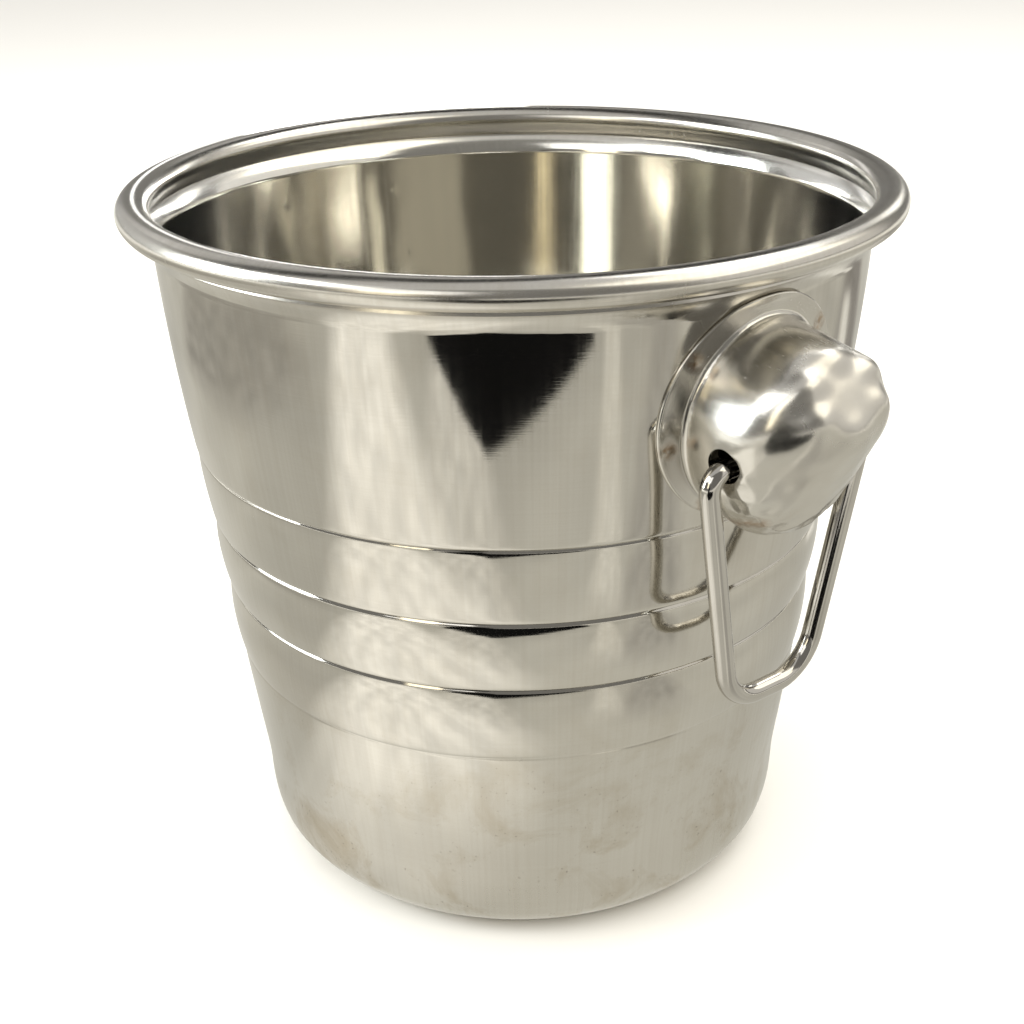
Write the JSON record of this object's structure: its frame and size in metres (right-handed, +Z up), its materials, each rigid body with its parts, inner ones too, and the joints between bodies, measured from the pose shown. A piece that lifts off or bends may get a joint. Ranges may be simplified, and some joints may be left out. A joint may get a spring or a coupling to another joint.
{
  "type": "champagne bucket",
  "caption": "Tapered metal champagne bucket with a rolled rim, pressed knobs on both sides and a swinging wire bail in each knob.",
  "frame": {"origin": "centre of the footprint, on the table plane", "axes": "+Z up through the mouth, +X through the right-hand knob, +Y to the back of the bucket seen from the front with the knobs at the sides"},
  "size_m": [0.2524, 0.21, 0.197],
  "materials": {
    "shell": "polished with fine brushing around the axis",
    "knob": "polished, fine scratches",
    "wire": "bright drawn wire"
  },
  "bodies": {
    "bucket": {"bucket_body": "shell", "knob_right": "knob", "knob_left": "knob"},
    "bail_right": {"bail_right": "wire"},
    "bail_left": {"bail_left": "wire"}
  },
  "joints": [
    {"name": "bail_right_swing", "type": "hinge", "parent": "bucket", "child": "bail_right", "pos_m": [0.10557, 0, 0.1508], "axis": [0, -1, 0], "range_deg": [-14, 178]},
    {"name": "bail_left_swing", "type": "hinge", "parent": "bucket", "child": "bail_left", "pos_m": [-0.10557, 0, 0.1508], "axis": [0, 1, 0], "range_deg": [-14, 178]}
  ]
}
